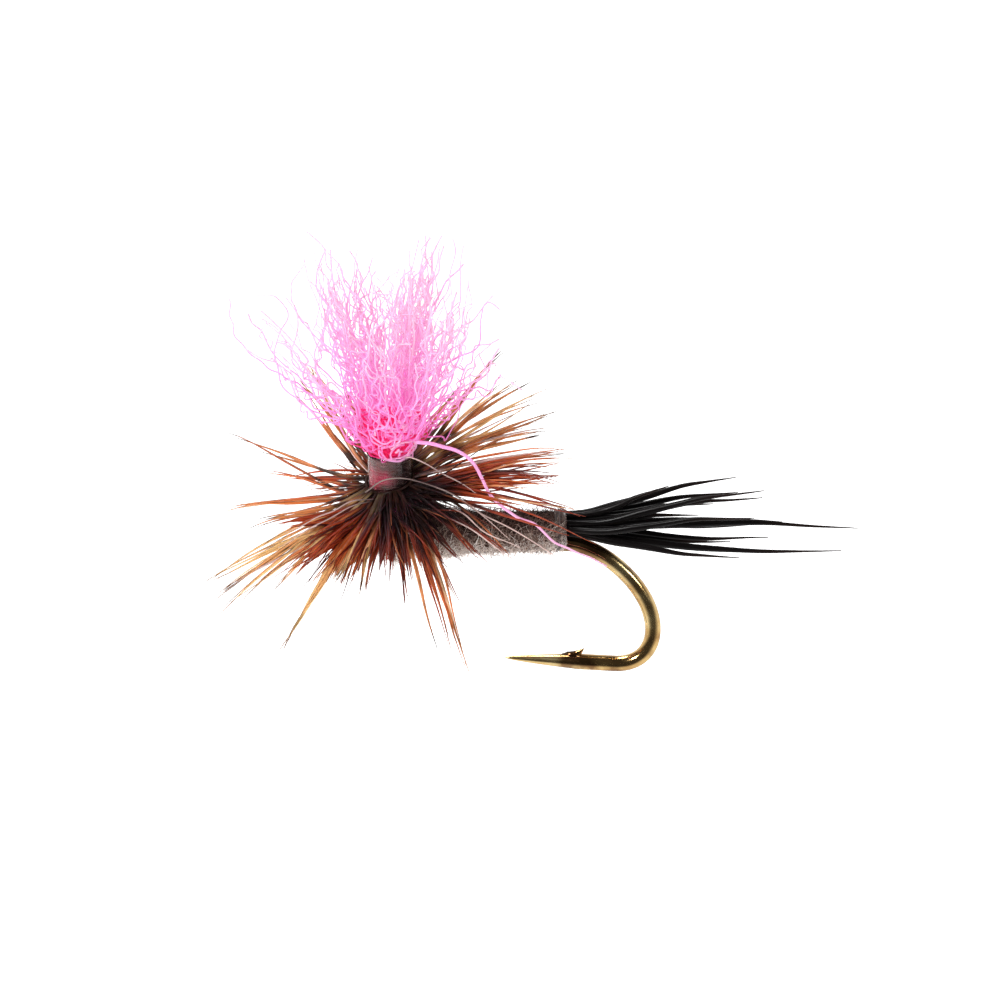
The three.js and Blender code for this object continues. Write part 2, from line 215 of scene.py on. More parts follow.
def thread_paint(name, dark, light, under=None, shaded_side=False):
    """Waxed thread of fine filaments, which show as lines along it. What is under it can show through, and
    when asked, painted shade darkens the side towards the tail, where the hackle shades it."""
    paint = Paint(name, Coat_Weight=0.3, Coat_Roughness=0.2, Sheen_Weight=0.15)
    filaments = 7
    turn = paint.sum(paint.strand("along"), paint.strand("round"), filaments * TURN)
    lines = paint.sum(0.5, paint.sine(turn), 0.5)
    tone = paint.sum(paint.noise(1600, 3), lines, 0.2)
    colour = paint.ramp(tone, [(0.35, dark), (0.8, light)])
    if under:
        thin = paint.sum(paint.strand("shade"), paint.sum(-0.5, paint.noise(2200, 3)), 1.2)
        colour = paint.mix(paint.span(thin, 0.35, 0.75, 0.0, 0.85), colour, under)
    # Painted shade: the side towards the tail is darkened where the hackle shades the post.
    if shaded_side:
        split = paint.node("SeparateXYZ", {0: paint.node("TexCoord").outputs["Object"]})
        side = paint.sum(split.outputs["X"], paint.noise(900), 0.2 * MM)
        painted_shade = paint.span(side, POST_X * MM, (POST_X + 0.42) * MM, 0.0, 0.93)
        colour = paint.mix(painted_shade, colour, (0.014, 0.004, 0.004))
    return paint.finish(colour, paint.span(tone, 0.3, 0.9, 0.3, 0.55), lines, 0.4, 0.005)


def fur_paint(name):
    """Underfur: each fibre has its own grey, from cream to brown-black. The shade number also carries painted
    shade on the top and painted light underneath.
    """
    paint = Paint(name, Specular_IOR_Level=0.25)
    greys = [
        (0.0, (0.035, 0.015, 0.012)),
        (0.35, (0.15, 0.088, 0.07)),
        (0.65, (0.5, 0.38, 0.32)),
        (1.0, (0.9, 0.82, 0.77)),
    ]
    tone = paint.sum(paint.sum(paint.strand("shade"), paint.noise(1400, 3), 0.4), -0.2)
    fine = paint.noise(9000)
    return paint.finish(paint.ramp(tone, greys), paint.span(fine, 0.2, 0.8, 0.7, 0.95), fine, 0.3, 0.004)


def yarn_paint(name):
    """Crinkled pink filaments: deep rose where they are bound, hot pink where dense, pale at their ends."""
    paint = Paint(name, Transmission_Weight=0.4, IOR=1.35)
    own = paint.sum(-0.1, paint.strand("shade"), 0.2)
    pinks = [
        (0.0, (0.8, 0.01, 0.11)),
        (0.14, (0.93, 0.045, 0.27)),
        (0.26, (0.94, 0.28, 0.7)),
        (0.5, (0.95, 0.43, 0.77)),
        (1.0, (0.94, 0.68, 0.81)),
    ]
    fine = paint.noise(12000)
    colour = paint.ramp(paint.sum(paint.strand("along"), own), pinks)
    # Painted light: a glow for the light the backlit filaments let through, on top of the dye's own
    # fluorescence.
    paint.glow(colour, 0.15)
    return paint.finish(colour, paint.span(fine, 0.2, 0.8, 0.35, 0.6), fine, 0.25, 0.003)


# The middle and the reach of the dark patch in the hackle: the webby roots' own dark and painted shade.
DARK_MIDDLE = np.array([1.6, -0.8, 1.35])
DARK_REACH = np.array([1.75, 1.35, 1.05])


def root_of_barb(paint):
    """How dark a barb is near the quill, where it is webby. The dark reaches less far up a golden barb, and
    all barbs are dark near DARK_MIDDLE, on the near side, where they lie thickest: their own webby dark
    with painted shade over it."""
    root = paint.span(paint.sum(paint.strand("along"), paint.strand("shade"), 0.15), 0.14, 0.42, 0.97, 0.0)
    place = paint.node("TexCoord").outputs["Object"]
    inputs = {"Vector": place, "Location": -DARK_MIDDLE / DARK_REACH, "Scale": 1 / (DARK_REACH * MM)}
    scaled = paint.node("Mapping", inputs)
    away = paint.node("VectorMath", {0: scaled.outputs[0]}, operation="LENGTH").outputs["Value"]
    near = paint.span(paint.sum(away, paint.noise(1200), 0.4), 0.75, 1.3, 0.95, 0.0)
    return paint.node("Math", {0: root, 1: near}, operation="MAXIMUM").outputs[0]


def edge_of_barb(paint):
    """How much the dark edges of a barb show: painted shade along its two edges, in blotches, and the
    barb's own dark near its tip.
    """
    edges = paint.sine(paint.sum(-0.25 * TURN, paint.strand("round"), 2 * TURN))
    blotched = paint.sum(edges, paint.noise(2600, 3), 3.0)
    dark = paint.sum(blotched, paint.span(paint.strand("along"), 0.75, 1.0), 0.6)
    return paint.span(dark, 1.6, 3.0, 0.0, 0.8)


def finish_feather(paint, colour):
    """A barb's fine grain, and a painted glow for the light that passes through it."""
    paint.glow(colour, 0.12)
    grain = paint.noise(9000)
    return paint.finish(colour, paint.span(grain, 0.3, 0.7, 0.28, 0.5), grain, 0.3, 0.004)


def brown_paint():
    """Red-brown cock hackle: near black at the quill, then mahogany, orange and gold at the tip."""
    paint = Paint("brown_feather", Specular_IOR_Level=0.3, Transmission_Weight=0.25, IOR=1.4)
    browns = [
        (0.0, (0.006, 0.002, 0.002)),
        (0.16, (0.06, 0.007, 0.004)),
        (0.32, (0.27, 0.03, 0.012)),
        (0.55, (0.5, 0.075, 0.02)),
        (0.78, (0.78, 0.24, 0.07)),
        (1.0, (0.94, 0.64, 0.38)),
    ]
    along = paint.strand("along")
    place = paint.sum(paint.sum(-0.04, along, 0.3), paint.strand("shade"))
    # The dark edges are painted shade; the dark tips are the barb's own.
    colour = paint.mix(edge_of_barb(paint), paint.ramp(place, browns), (0.014, 0.005, 0.004))
    # Dark roots near the quill, with painted shade in the patch round DARK_MIDDLE.
    colour = paint.mix(root_of_barb(paint), colour, (0.005, 0.003, 0.003))
    return finish_feather(paint, colour)


def grizzly_paint():
    """Barred cock hackle: tan to gold, with charcoal to rust bars. A barb of shade 1 has no colour."""
    paint = Paint("grizzly_feather", Specular_IOR_Level=0.35, Transmission_Weight=0.3, IOR=1.4)
    along, shade = paint.strand("along"), paint.strand("shade")
    pales = [
        (0.0, (0.44, 0.1, 0.03)),
        (0.5, (0.76, 0.29, 0.1)),
        (0.95, (0.97, 0.65, 0.29)),
        (1.0, (0.78, 0.58, 0.53)),
    ]
    inks = [(0.5, (0.02, 0.014, 0.012)), (0.8, (0.3, 0.1, 0.025)), (0.95, (0.45, 0.16, 0.045))]
    wave = paint.sine(paint.sum(-1.5, along, 9.5))
    bars = paint.span(paint.sum(wave, paint.noise(1600), 0.5), 0.75, 1.15, 0.0, 0.92)
    barred = paint.mix(bars, paint.ramp(shade, pales), paint.ramp(shade, inks))
    # The dark edges are painted shade; the dark tips are the barb's own.
    dark = paint.mix(edge_of_barb(paint), barred, (0.02, 0.012, 0.01))
    # Dark roots near the quill, with painted shade in the patch round DARK_MIDDLE.
    colour = paint.mix(root_of_barb(paint), dark, (0.008, 0.004, 0.003))
    return finish_feather(paint, colour)


def cement_paint():
    """Clear head cement, faintly brown, glossy and slightly uneven."""
    paint = Paint("head_varnish", Transmission_Weight=1.0, IOR=1.4)
    tone = paint.noise(900)
    colour = paint.ramp(tone, [(0.3, (0.84, 0.78, 0.76)), (0.8, (0.95, 0.91, 0.9))])
    return paint.finish(colour, paint.span(tone, 0.2, 0.8, 0.03, 0.1), paint.noise(1500), 0.3, 0.02)


# ---------------------------------------------------------------- paths
def unit(vectors):
    return vectors / np.maximum(np.linalg.norm(vectors, axis=-1, keepdims=True), 1e-12)


def frames(paths):
    """Two directions across each path, (strands, steps, 3), carried along it without twist."""
    tangents = unit(np.gradient(paths, axis=1))
    upright = np.abs(tangents[:, 0, 2:]) < 0.9
    across = np.empty_like(paths)
    across[:, 0] = unit(np.cross(tangents[:, 0], np.where(upright, (0.0, 0.0, 1.0), (1.0, 0.0, 0.0))))
    for step in range(1, paths.shape[1]):
        carried, tangent = across[:, step - 1], tangents[:, step]
        across[:, step] = unit(carried - np.sum(carried * tangent, axis=1, keepdims=True) * tangent)
    return across, np.cross(tangents, across)


def bezier(controls, steps):
    """Bezier curves for control points of shape (strands, controls, 3)."""
    t = np.linspace(0, 1, steps)[None, :, None]
    level = [controls[:, k, None] for k in range(controls.shape[1])]
    while len(level) > 1:
        level = [a + (b - a) * t for a, b in zip(level, level[1:])]
    return level[0]


def through(places, steps):
    """Smooth curves through places of shape (strands, places, 3)."""
    places = np.asarray(places, float)
    slopes = np.gradient(places, axis=1)
    share = np.linspace(0, places.shape[1] - 1, steps)
    k = np.minimum(share.astype(int), places.shape[1] - 2)
    t = (share - k)[None, :, None]
    start, end = places[:, k], places[:, k + 1]
    leave, arrive = slopes[:, k], slopes[:, k + 1]
    s = 1 - t
    return start * (1 + 2 * t) * s * s + leave * t * s * s + end * (3 - 2 * t) * t * t - arrive * t * t * s


def lengths(paths):
    """How far along its path each point is."""
    steps = np.linalg.norm(np.diff(paths, axis=1), axis=2)
    return np.concatenate([np.zeros((len(paths), 1)), np.cumsum(steps, axis=1)], axis=1)


def waved(paths, wavelength, swing):
    """The paths with waves in both directions across, each path's its own. swing is about how far they go."""
    across, beside = frames(paths)
    count = len(paths)
    distance = lengths(paths)
    for direction in (across, beside):
        wave = wavelength * rng.uniform(0.75, 1.3, (count, 1))
        uneven = rng.uniform(0.4, 1.2, (count, 1))
        uneven = uneven * np.sin(distance / wave * 1.7 + rng.uniform(0, TURN, (count, 1)))
        angle = TURN * distance / wave + uneven + rng.uniform(0, TURN, (count, 1))
        paths = paths + direction * (swing * rng.uniform(0.5, 1.2, (count, 1)) * np.sin(angle))[..., None]
    return paths


def kinked(paths, bends, swing):
    """The paths smoothed through a few of their points, each moved at random. bends is how many points, and
    swing is about how far they move: one number, or one for each step."""
    count, steps, _ = paths.shape
    picks = np.linspace(0, steps - 1, bends).astype(int)
    swing = np.broadcast_to(swing, (1, steps))[:, picks, None]
    return through(paths[:, picks] + rng.normal(0, 1, (count, bends, 3)) * swing, steps)


def helix(centre, axis, start, end, radius, pitch, steps=28, squash=1.0, uneven=0.0):
    """A winding round an x or z axis through centre, from start to end along it. squash narrows it in y."""
    turns = abs(end - start) / pitch
    angle = np.linspace(0, turns * TURN, max(8, int(turns * steps)))
    reach = radius * (1 + uneven * np.sin(angle * 0.37) * np.sin(angle * 0.11 + 1))
    run = start + (end - start) * angle / angle[-1]
    if axis == "x":
        places = [run, centre[1] + squash * reach * np.cos(angle), centre[2] + reach * np.sin(angle)]
    else:
        places = [centre[0] + reach * np.cos(angle), centre[1] + reach * np.sin(angle), run]
    return np.stack(places, axis=-1)[None]


# ---------------------------------------------------------------- meshes
class Shape:
    """Closed tubes gathered into one mesh. Each point has three numbers for the materials: along runs from
    one end of its tube to the other, round goes once round it, and shade is mostly the tube's own number."""

    def __init__(self):
        self.points = []
        self.faces = []
        self.numbers = {"along": [], "round": [], "shade": []}
        self.count = 0

    def tubes(self, paths, radii, sides=5, flatten=1.0, shade=0.5, along=(0.0, 1.0)):
        """radii and shade fit (strands, steps, sides), or leave out what doesn't differ. flatten makes the
        section oval, and along gives the number at the tube's two ends."""
        paths = np.asarray(paths, float)
        count, steps, _ = paths.shape
        radii = np.broadcast_to(radii, (count, steps, sides))[..., None]
        across, beside = frames(paths)
        turn = np.arange(sides) / sides
        out = across[:, :, None] * np.cos(TURN * turn)[:, None]
        out = out + flatten * beside[:, :, None] * np.sin(TURN * turn)[:, None]
        self.points.append((paths[:, :, None] + radii * out).reshape(-1, 3))

        corner = np.arange(sides)
        after = np.roll(corner, -1)
        ring = sides * np.arange(steps - 1)[:, None]
        quads = np.stack([ring + corner, ring + after, ring + sides + after, ring + sides + corner], axis=-1)
        first = self.count + steps * sides * np.arange(count)
        self.faces += (quads.reshape(1, -1, 4) + first[:, None, None]).reshape(-1, 4).tolist()
        self.faces += (first[:, None] + corner[::-1]).tolist()
        self.faces += (first[:, None] + (steps - 1) * sides + corner).tolist()
        self.count += count * steps * sides

        size = (count, steps, sides)
        share = np.linspace(along[0], along[1], steps)[None, :, None]
        self.numbers["along"].append(np.broadcast_to(share, size).ravel())
        self.numbers["round"].append(np.broadcast_to(turn[None, None], size).ravel())
        shade = np.asarray(shade, float)
        shade = shade.reshape(shade.shape + (1,) * (3 - shade.ndim))
        self.numbers["shade"].append(np.broadcast_to(shade, size).ravel())

    def piece(self, name, material, *nodes):
        """Makes the mesh. The material's name is that of its slot, up to any full stop."""
        mesh = bpy.data.meshes.new(name)
        mesh.from_pydata((np.concatenate(self.points) * MM).tolist(), [], self.faces)
        for key, stored in self.numbers.items():
            layer = mesh.attributes.new(key, "FLOAT", "POINT")
            layer.data.foreach_set("value", np.concatenate(stored).astype(np.float32))
        mesh.materials.append(material)
        mesh.polygons.foreach_set("use_smooth", [True] * len(mesh.polygons))
        mesh.update()
        piece = bpy.data.objects.new(name, mesh)
        bpy.context.collection.objects.link(piece)
        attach(piece, "root")
        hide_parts(*nodes)
        return piece


def taper(steps, thick, thin, start=0.0, power=1.0):
    """A radius that stays thick up to the share start, then goes to thin."""
    share = np.clip((np.linspace(0, 1, steps) - start) / (1 - start), 0, 1)
    return (thick + (thin - thick) * share**power)[None, :, None]


# ---------------------------------------------------------------- the hook
SPEAR_Z = HOOK_BOX[0][2] + WIRE_R
BEND_X = HOOK_BOX[1][0] - WIRE_R
BEND_WIDTH = 0.83
BEND_HEIGHT = 0.845
# Lengths of wire: round the eye, over which it swells to its full size, and over which the point is ground.
EYE_LENGTH = 1.7
SWELL_LENGTH = 0.8
GROUND_LENGTH = 1.7
POINT_R = 0.006


def hook_path():
    """The wire from the end that closes the eye, round the ring, along the shank and bend to the point."""
    side_z = SPEAR_Z + BEND_HEIGHT
    spear_x = BEND_X - BEND_WIDTH
    angle = np.radians(np.linspace(338, 52, 60))
    ring = EYE_RING_R * np.stack([np.cos(angle), np.sin(angle), 0 * angle], axis=-1)
    joining = [ring[-1], ring[-1] + [0.13, -0.1, 0], [0.43, 0.04, 0], [0.62, 0, 0]]
    loop = np.concatenate([ring[:-1], bezier(np.array([joining]), 14)[0]])
    cos, sin = math.cos(EYE_DROP), math.sin(EYE_DROP)
    eye = np.stack([loop[:, 0] * cos, loop[:, 1], loop[:, 0] * sin], axis=-1)
    bends = [
        [eye[-1], eye[-1] + [0.1, 0, 0.058], [0.8, 0, SHANK_Z], [1.0, 0, SHANK_Z]],
        [[1.0, 0, SHANK_Z], [2.0, 0, SHANK_Z], [4.0, 0, SHANK_Z], [4.95, 0, SHANK_Z]],
        [[4.95, 0, SHANK_Z], [5.75, 0, SHANK_Z], [BEND_X, 0, side_z + 1], [BEND_X, 0, side_z]],
        [[BEND_X, 0, side_z], [BEND_X, 0, side_z - 0.5], [spear_x + 0.53, 0, SPEAR_Z], [spear_x, 0, SPEAR_Z]],
        [[spear_x, 0, SPEAR_Z], [5.2, 0, SPEAR_Z + 0.05], [4.4, 0, SPEAR_Z + 0.1], [3.5, 0, SPEAR_Z + 0.15]],
    ]
    parts = [eye[:-1]]
    for bend, steps in zip(bends, (8, 24, 60, 30, 60)):
        parts.append(bezier(np.array([bend]), steps)[0][:-1])
    return np.concatenate(parts)[None]


def make_hook():
    """The wire, and the sliver of it that stands up as the barb."""
    shape = Shape()
    path = hook_path()
    sides = 20
    distance = lengths(path)[0]
    left = distance[-1] - distance
    swell = EYE_WIRE_R + (WIRE_R - EYE_WIRE_R) * np.clip((distance - EYE_LENGTH) / SWELL_LENGTH, 0, 1) ** 1.5
    ground = POINT_R + (WIRE_R - POINT_R) * np.clip(left / GROUND_LENGTH, 0, 1) ** 0.65
    radii = np.minimum(swell, ground)[None, :, None] * np.ones(sides)
    radii[0, 0] *= 0.8
    radii[0, -1] *= 0.5
    shape.tubes(path, radii, sides)
    barb = [(4.9, 0, 0.07), (5.08, 0, 0.12), (5.22, 0, 0.24), (5.37, 0, 0.37)]
    barb = np.array([barb]) + [0, 0, SPEAR_Z]
    shape.tubes(bezier(barb, 10), taper(10, 0.15, POINT_R, 0.35, 0.9), 4, 1.2)
    shape.piece("bronze_hook", bronze_paint(), "hook")


# ---------------------------------------------------------------- the outline of the body's back end
def shoulder(distance):
    """How the body and its wraps narrow near their back end, at each distance from that end."""
    narrowest, reach = 0.76, 0.4
    return narrowest + (1 - narrowest) * np.clip(distance / reach, 0, 1) ** 0.5


# ---------------------------------------------------------------- thread
THREAD_R = 0.028
# How far the windings stay inside the ends and the outside of their boxes.
END_GAP = 0.03
SIDE_GAP = 0.03


def shank_turns(box, centre, reach, pitch, steps=28, squash=1.0):
    """A winding along the shank, from end to end of a box."""
    return helix(centre, "x", box[0][0] + END_GAP, box[1][0] - END_GAP, reach, pitch, steps, squash)


def make_base_thread(paint):
    """Open turns of flattened thread on the uncovered wire."""
    shape = Shape()
    reach = 0.5 * (BASE_BOX[1][2] - BASE_BOX[0][2]) - 0.05
    shape.tubes(shank_turns(BASE_BOX, (0, 0, SHANK_Z), reach, 0.1), 0.022, 6)
    shape.piece("base_thread", paint, "thread_base")


def make_tail_thread(paint):
    """Two layers of turns over the hairs, drawn in towards the tail and level along their top."""
    shape = Shape()
    low, high = TAIL_WRAPS_BOX
    middle = 0.5 * (low + high)
    reach = 0.5 * (high[2] - low[2]) - SIDE_GAP
    squash = (high[1] - low[1]) / (high[2] - low[2])
    for lift, pitch in ((0.0, 0.055), (0.02, 0.085)):
        turns = shank_turns(TAIL_WRAPS_BOX, middle, reach + lift, pitch, 40, squash)
        narrow = shoulder(high[0] - turns[..., 0])
        turns[..., 1] *= narrow
        turns[..., 2] = high[2] - (high[2] - turns[..., 2]) * narrow
        shape.tubes(turns, THREAD_R, 6, 0.8)
    shape.piece("tail_thread", paint, "tail_wraps")


def make_head_thread(paint):
    shape = Shape()
    reach = 0.5 * (HEAD_BOX[1][2] - HEAD_BOX[0][2]) - SIDE_GAP
    shape.tubes(shank_turns(HEAD_BOX, (0, 0, SHANK_Z), reach, 0.05, 36), THREAD_R, 6)
    shape.piece("head_thread", paint, "head_wraps")


def yarn_showing(path):
    """Where the turns on the post are thin enough to show the yarn: low down on the near left."""
    spot = np.array([POST_X - 0.5, -0.22, WRAPS_TOP_Z - 0.55])
    away = np.linalg.norm((path - spot) / [0.62, 0.62, 0.36], axis=2)
    return np.exp(-(away**2))[..., None]


def make_post_thread():
    """A close layer of turns down the post, and an open one back up it."""
    rose = (0.85, 0.045, 0.16)
    paint = thread_paint("tying_thread.post", (0.09, 0.02, 0.022), (0.42, 0.13, 0.14), rose, True)
    shape = Shape()
    low_z, high_z = WRAPS_BOX[0][2], WRAPS_BOX[1][2]
    reach = WRAPS_R - 0.025
    centre = (POST_X, 0, 0)
    close = helix(centre, "z", low_z + END_GAP, high_z - END_GAP, reach - 0.012, 0.046, 44, uneven=0.01)
    shape.tubes(close, THREAD_R, 6, 0.7, shade=yarn_showing(close))
    loose = helix(centre, "z", high_z - 0.05, low_z + 0.08, reach, 0.075, 44, uneven=0.02)
    shape.tubes(loose, 0.024, 6, 0.7, shade=yarn_showing(loose))
    shape.piece("post_thread", paint, "post_wraps")


def make_threads():
    paint = thread_paint("tying_thread", (0.02, 0.013, 0.011), (0.1, 0.074, 0.064))
    make_base_thread(paint)
    make_tail_thread(paint)
    make_head_thread(paint)
    make_post_thread()


# ---------------------------------------------------------------- cement
def make_sleeve(name, node, box, axis, material):
    """A thin ring-shaped shell round axis 0 or 2: out along its uneven outside, back along its inside."""
    low, high = box
    steps, sides = 26, 32
    thickness = 0.02
    angle = np.arange(sides) / sides * TURN
    share = np.linspace(0, 1, steps)
    reach = 0.5 * (high[1] - low[1])
    uneven = np.sin(3 * angle + 9 * share[:, None]) * np.sin(2 * angle - 5 * share[:, None])
    outside = reach + 0.006 * uneven
    radii = np.concatenate([outside, np.full_like(outside, reach - thickness)])
    run = low[axis] + (high[axis] - low[axis]) * share
    points = np.empty((2 * steps, sides, 3))
    points[:] = 0.5 * (low + high)
    points[..., axis] = np.concatenate([run, run[::-1]])[:, None]
    across, beside = [other for other in range(3) if other != axis]
    points[..., across] += radii * np.cos(angle)
    points[..., beside] += radii * np.sin(angle)

    shape = Shape()
    rows = 2 * steps
    corner = np.arange(sides)
    after = np.roll(corner, -1)
    for row in range(rows):
        here, there = row * sides, (row + 1) % rows * sides
        quads = np.stack([here + corner, here + after, there + after, there + corner], axis=-1)
        shape.faces += quads.tolist()
    shape.points.append(points.reshape(-1, 3))
    shape.numbers["along"].append(np.repeat(np.linspace(0, 1, rows), sides))
    shape.numbers["round"].append(np.tile(np.arange(sides) / sides, rows))
    shape.numbers["shade"].append(np.full(rows * sides, 0.5))
    shape.piece(name, material, node)


def make_cement():
    """Clear varnish over the foot of the post and over the head."""
    varnish = cement_paint()
    make_sleeve("post_varnish", "post_cement", CEMENT_BOX, 2, varnish)
    make_sleeve("head_coat", "head_cement", HEAD_CEMENT_BOX, 0, varnish)


# ---------------------------------------------------------------- the tail
def make_tail():
    """Each hair is squeezed thin under the wraps, swells behind them and runs out to a fine tip."""
    paint = hair_paint()
    nodes = sorted(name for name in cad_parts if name.startswith("tail_hair"))
    steps = 40
    share = np.linspace(0, 1, steps)
    for number, node in enumerate(nodes, 1):
        shape = Shape()
        line = centreline(node, 0, 9)
        path = waved(through(line[None], steps), 2.4, 0.012)
        swell = 1 + 0.3 * np.clip((share - 0.3) / 0.2, 0, 1) + 0.04 * np.sin(30 * share + number)
        radii = taper(steps, 0.058, 0.006, 0.45, 1.1) * swell[None, :, None]
        shape.tubes(path, radii, 8, 1.35, shade=rng.random(1))
        shape.piece(f"moose_hair_{number:02d}", paint, node)


# ---------------------------------------------------------------- the fur
class Rope:
    """A rope of fur along the shank. radius_at(share) is its radius from its front, 0, to its back, 1. Fibres
    go past its back end by overrun, and its line rises by climb from end to end."""

    def __init__(self, box, radius_at, overrun=0.0, climb=0.0):
        low, high = box
        self.start = low[0]
        self.length = high[0] - low[0]
        self.centre_z = 0.5 * (low[2] + high[2])
        self.radius_at = radius_at
        self.overrun = overrun
        self.climb = climb

    def add_core(self, shape):
        """A lumpy dark core, darker at its top than below: painted shade on top, painted light underneath."""
        steps, sides = 60, 36
        share = np.linspace(0, 1, steps)
        x = self.start + self.length * share
        path = np.stack([x, 0 * share, self.centre_z + self.climb * share], axis=-1)[None]
        angle = np.arange(sides) / sides * TURN
        lumps = 0.05 * np.sin(9 * share[:, None] + 2 * angle) + 0.04 * np.sin(21 * share[:, None] - 3 * angle)
        ends = np.clip(np.minimum(share, 1 - share) / 0.06, 0.05, 1) ** 0.5
        radii = (0.9 * self.radius_at(share) * ends)[:, None] * (1 + lumps)
        below = np.broadcast_to(0.5 + 0.5 * np.sin(angle), (1, steps, sides))
        shape.tubes(path, radii[None], sides, shade=0.45 * below**2)

    def add_fibres(self, shape, count):
        """Fibres wound and teased over the core, paler below with painted light and darker on top with
        painted shade. Those that reach the end turn back on it.
        """
        steps = 9
        place, around = rng.random(count), rng.uniform(0, TURN, count)
        reach = rng.uniform(0.25, 0.85, count)
        sweep = rng.uniform(-0.9, 2.2, count)
        lean = rng.normal(0.15, 0.45, count)
        lift = rng.gamma(1.4, 0.028, count)
        t = np.linspace(0, 1, steps)[None]
        end = 1 + self.overrun / self.length + 0.01
        along = place[:, None] * (1 + self.overrun / self.length)
        along = along + (reach * lean)[:, None] * t / self.length
        along = np.where(along > end, 2 * end - along, along)
        turned = around[:, None] + sweep[:, None] * reach[:, None] * t + 0.2 * np.sin(5 * t + around[:, None])
        narrow = shoulder((end - along) * self.length)
        front = np.clip(along / 0.05 + 0.5, 0.4, 1) ** 0.5
        out = self.radius_at(np.clip(along, 0, 1)) * narrow * front * 0.92 + lift[:, None] * (t * 1.8) ** 1.5
        level = self.centre_z + self.climb * np.clip(along, 0, 1) + (1 - narrow) * self.radius_at(1)
        x = self.start + self.length * along
        paths = np.stack([x, -out * np.cos(turned), level + out * np.sin(turned)], axis=-1)
        paths = waved(paths, 0.3, 0.02)
        below = 0.5 - 0.5 * np.sin(around)
        shade = np.clip(rng.beta(1.5, 2.2, count) * 0.6 + 0.85 * below**2 - 0.04, 0, 1)
        thick = rng.uniform(0.005, 0.0105, (count, 1, 1))
        shape.tubes(paths, thick * taper(steps, 1, 0.25, 0.3), 3, shade=shade)


def make_fur(name, node, rope, count, paint):
    shape = Shape()
    rope.add_core(shape)
    rope.add_fibres(shape, count)
    shape.piece(name, paint, node)


def make_abdomen(paint):
    """A rope that thins quickly behind the hackle, and goes on over most of the tail's wraps."""
    widest = 0.5 * (ABDOMEN_BOX[1][2] - ABDOMEN_BOX[0][2])
    overrun = TAIL_WRAPS_BOX[1][0] - ABDOMEN_BOX[1][0] - 0.04
    rope = Rope(ABDOMEN_BOX, lambda share: widest * (0.64 + 0.34 * (1 - share) ** 4), overrun, 0.05)
    make_fur("abdomen_fur", "abdomen_dubbing", rope, 3850, paint)


def make_thorax(paint):
    """A rope that swells from the head to the foot of the post."""
    widest = 0.5 * (THORAX_BOX[1][1] - THORAX_BOX[0][1])

    def radius_at(share):
        return widest * (0.8 + 0.2 * np.sin(np.minimum(1, 0.1 + 1.2 * share) * 0.5 * math.pi))

    make_fur("thorax_fur", "thorax_dubbing", Rope(THORAX_BOX, radius_at), 800, paint)


def make_body():
    paint = fur_paint("dubbed_fur")
    make_abdomen(paint)
    make_thorax(paint)


# ---------------------------------------------------------------- the post
TRUNK_R = 0.33
KNOT_HEIGHT = 1.15


def bulb_radius(z):
    """How wide the knot of yarn is above its wraps."""
    share = np.clip((z - WRAPS_TOP_Z) / 1.1, 0, 1)
    return 0.43 + 0.29 * np.sin(share * 0.5 * math.pi) ** 0.9


def add_trunk(shape):
    """The bound trunk, which opens into the solid heart of the knot above the wraps."""
    steps, sides = 60, 40
    z = np.linspace(0.6, WRAPS_TOP_Z + KNOT_HEIGHT, steps)
    share = np.clip((z - WRAPS_TOP_Z) / KNOT_HEIGHT, 0, 1)
    path = np.stack([0 * z + POST_X, 0 * z, z], axis=-1)[None]
    angle = np.arange(sides) / sides * TURN
    lumps = np.sin(5 * angle + 4 * z[:, None]) * np.sin(3 * angle - 7 * z[:, None])
    open_z = z > WRAPS_TOP_Z
    reach = np.where(open_z, 0.92 * bulb_radius(z) * np.sqrt(1.0001 - share**2.4), TRUNK_R)
    radii = reach[:, None] * (1 + np.where(open_z, 0.1, 0.01)[:, None] * lumps)
    shape.tubes(path, radii[None], sides, shade=0.4, along=(-0.05, 0.16))


def add_loops(shape):
    """Loops of yarn round the knot, the outer ones paler."""
    count = 84
    t = np.linspace(0, 1, 40)[None]
    turned = rng.uniform(0, TURN, (count, 1))
    height = WRAPS_TOP_Z + 0.06 + 1.1 * rng.random((count, 1)) ** 1.3
    wide, tall = rng.uniform(0.25, 0.8, (count, 1)), rng.uniform(0.08, 0.34, (count, 1))
    sweep = TURN * rng.uniform(0.5, 1.1, (count, 1)) * t + rng.uniform(0, TURN, (count, 1))
    turned = turned + wide * np.cos(sweep) + 0.5 * t
    rise = np.maximum(height + tall * np.sin(sweep), WRAPS_TOP_Z - 0.06)
    out = bulb_radius(rise) * np.linspace(0.95, 1.2, count)[:, None]
    paths = np.stack([POST_X + out * np.cos(turned), out * np.sin(turned), rise], axis=-1)
    paths = kinked(paths, 12, 0.02)
    deep, tone = int(0.6 * count), rng.random(count)
    shape.tubes(paths[:deep], 0.022, 5, shade=tone[:deep], along=(0.02, 0.16))
    shape.tubes(paths[deep:], 0.024, 5, shade=tone[deep:], along=(0.35, 0.8))


def add_sling(shape):
    """The strands that hold the yarn to the shank."""
    turns = helix((0, 0, SHANK_Z), "x", POST_X - 0.14, POST_X + 0.14, 0.32, 0.14, 30)
    shape.tubes(turns, 0.05, 8, shade=0.4, along=(0, 0.1))


def make_yarn_core(paint):
    shape = Shape()
    add_trunk(shape)
    add_loops(shape)
    add_sling(shape)
    shape.piece("yarn_knot", paint, "yarn_post")


# How many filaments follow each lock of the frame.
FILAMENTS = (10, 16, 18, 20, 9, 11, 9, 17, 36, 24, 26, 32)


